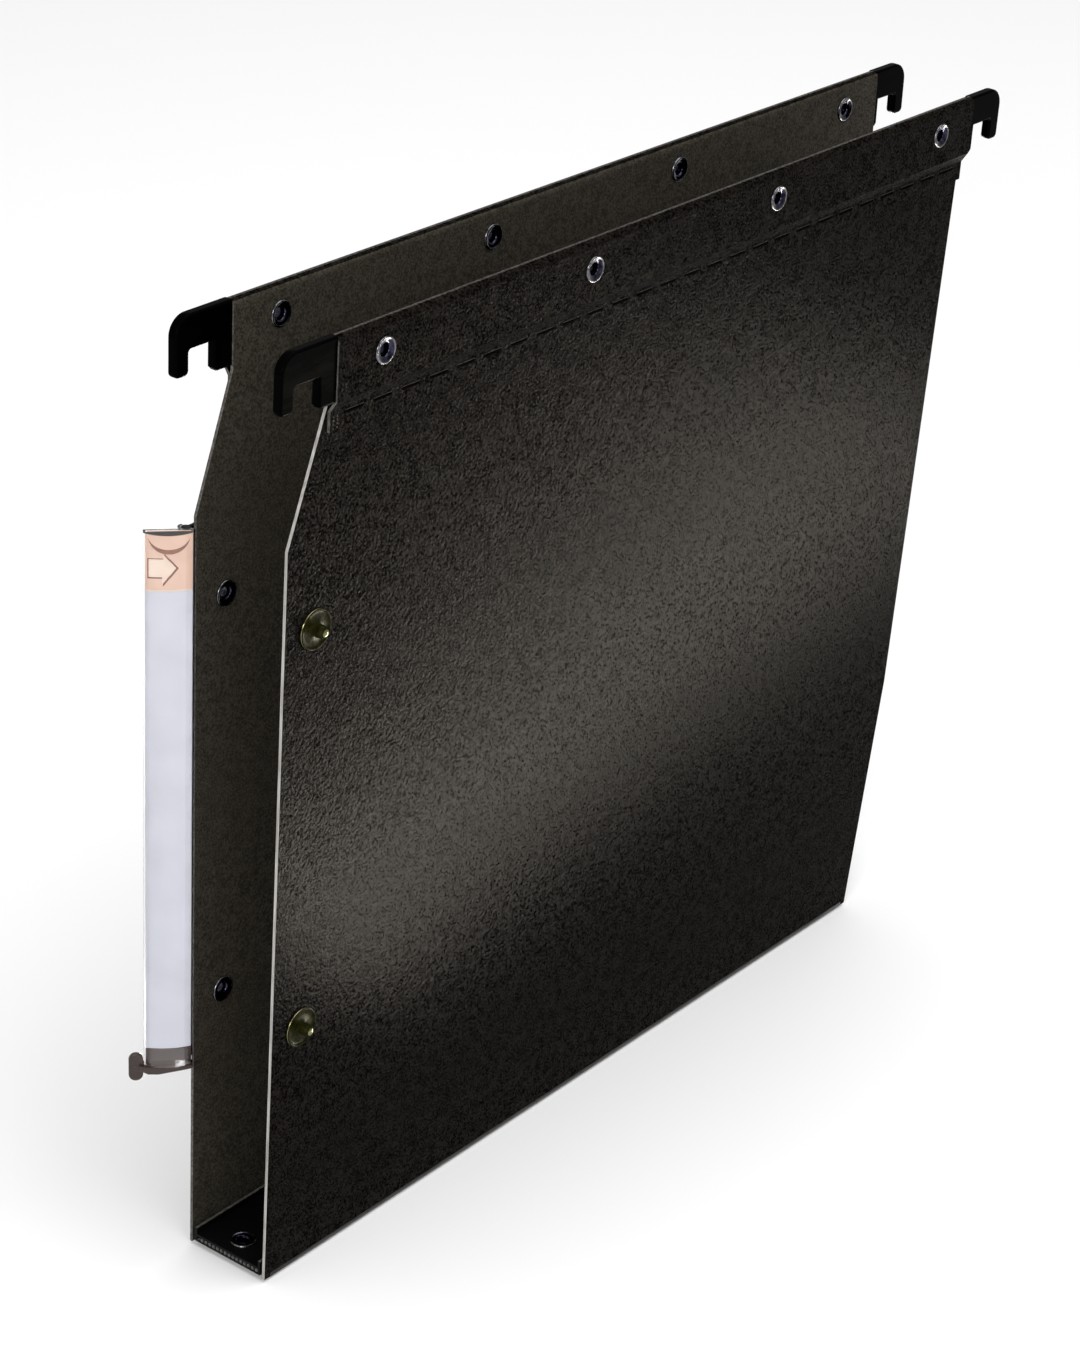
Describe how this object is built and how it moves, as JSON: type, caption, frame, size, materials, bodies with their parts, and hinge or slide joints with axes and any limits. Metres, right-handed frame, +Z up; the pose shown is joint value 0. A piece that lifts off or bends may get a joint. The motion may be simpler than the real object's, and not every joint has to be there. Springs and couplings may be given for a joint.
{
  "type": "suspension file",
  "caption": "Hanging file for a lateral cabinet: two hinged panels on a rigid base, hooked bars, press studs and a turning label holder with a sliding label.",
  "frame": {"origin": "middle of the base's flat underside, under the middle of the rail spacing", "axes": "+X along the bars away from the label holder, +Y from the front panel to the rear panel, +Z up"},
  "size_m": [0.3603, 0.046, 0.2956],
  "materials": {
    "panel_sheet": "fine leather grain, soft sheen",
    "bar_steel": "plain rolled strip",
    "hook_plastic": "moulded, satin",
    "eyelet_steel": "nickel plated",
    "stud_brass": "old brass plating",
    "spring_wire": "bright wire",
    "carrier_plastic": "extruded, smooth",
    "insert_plastic": "fluted sheet, dull",
    "lens_plastic": "clear, polished",
    "end_stop_plastic": "smoked, moulded",
    "label_paper": "coated card",
    "tab_plastic": "moulded, satin"
  },
  "bodies": {
    "rear_side": {"rear_panel": "panel_sheet", "rear_bar": "bar_steel", "rear_left_hook": "hook_plastic", "rear_right_hook": "hook_plastic", "rear_hem_eyelets": "eyelet_steel", "press_sockets": "stud_brass", "socket_springs": "spring_wire", "socket_eyelets": "eyelet_steel", "label_carrier": "carrier_plastic"},
    "base": {"base_sheet": "panel_sheet", "base_insert": "insert_plastic", "base_eyelets": "eyelet_steel"},
    "front_side": {"front_panel": "panel_sheet", "front_bar": "bar_steel", "front_left_hook": "hook_plastic", "front_right_hook": "hook_plastic", "front_hem_eyelets": "eyelet_steel", "press_studs": "stud_brass", "stud_rivets": "eyelet_steel"},
    "label_holder": {"label_lens": "lens_plastic", "label_end_stop": "end_stop_plastic"},
    "label": {"label_strip": "label_paper", "label_pull_tab": "tab_plastic"}
  },
  "joints": [
    {"name": "base_fold", "type": "hinge", "parent": "rear_side", "child": "base", "pos_m": [0, 0.0145, 0.0005], "axis": [1, 0, 0], "range_deg": [0, 90]},
    {"name": "front_panel_fold", "type": "hinge", "parent": "base", "child": "front_side", "pos_m": [0, -0.0145, 0.0005], "axis": [1, 0, 0], "range_deg": [-6, 90]},
    {"name": "label_holder_turn", "type": "hinge", "parent": "rear_side", "child": "label_holder", "pos_m": [-0.1701, 0.01681, 0.14999], "axis": [0, 0.0087, 1], "range_deg": [-48, 42]},
    {"name": "label_slide", "type": "slide", "parent": "label_holder", "child": "label", "axis": [0, 0.0087, 1], "range_m": [0, 0.042]}
  ]
}
